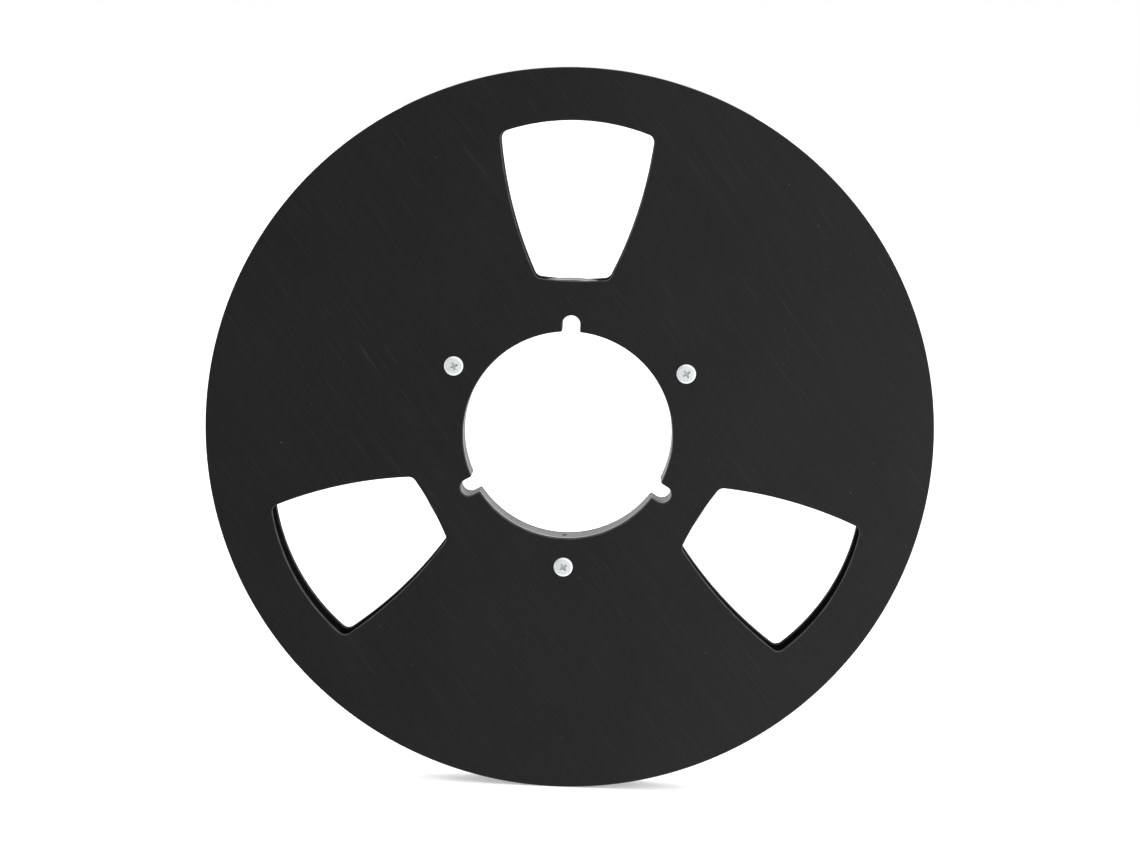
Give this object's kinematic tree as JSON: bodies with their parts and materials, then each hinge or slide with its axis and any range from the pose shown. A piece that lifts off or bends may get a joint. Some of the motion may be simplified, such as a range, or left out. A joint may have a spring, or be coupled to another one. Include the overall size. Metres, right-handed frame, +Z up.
{
  "type": "tape reel",
  "caption": "Empty open-window aluminium reel for quarter-inch recording tape: flat black flanges screwed to a bare hub ring with a keyed three-inch bore.",
  "frame": {"origin": "on the bore's axis, at mid-width of the hub", "axes": "+Y along the bore's axis from the front flange to the rear flange, +Z up through the middle of one key notch and window, +X to the right as seen from the front"},
  "size_m": [0.266, 0.0148, 0.266],
  "materials": {
    "black_anodised": "fine straight-grained aluminium sheet, black anodised, satin",
    "bare_aluminium": "turned, clear",
    "zinc_steel": "pressed steel, bright zinc plated"
  },
  "bodies": {
    "root": {"front_flange": "black_anodised", "rear_flange": "black_anodised", "hub": "bare_aluminium", "front_screw_1": "zinc_steel", "front_screw_2": "zinc_steel", "front_screw_3": "zinc_steel", "rear_screw_1": "zinc_steel", "rear_screw_2": "zinc_steel", "rear_screw_3": "zinc_steel"}
  },
  "joints": []
}
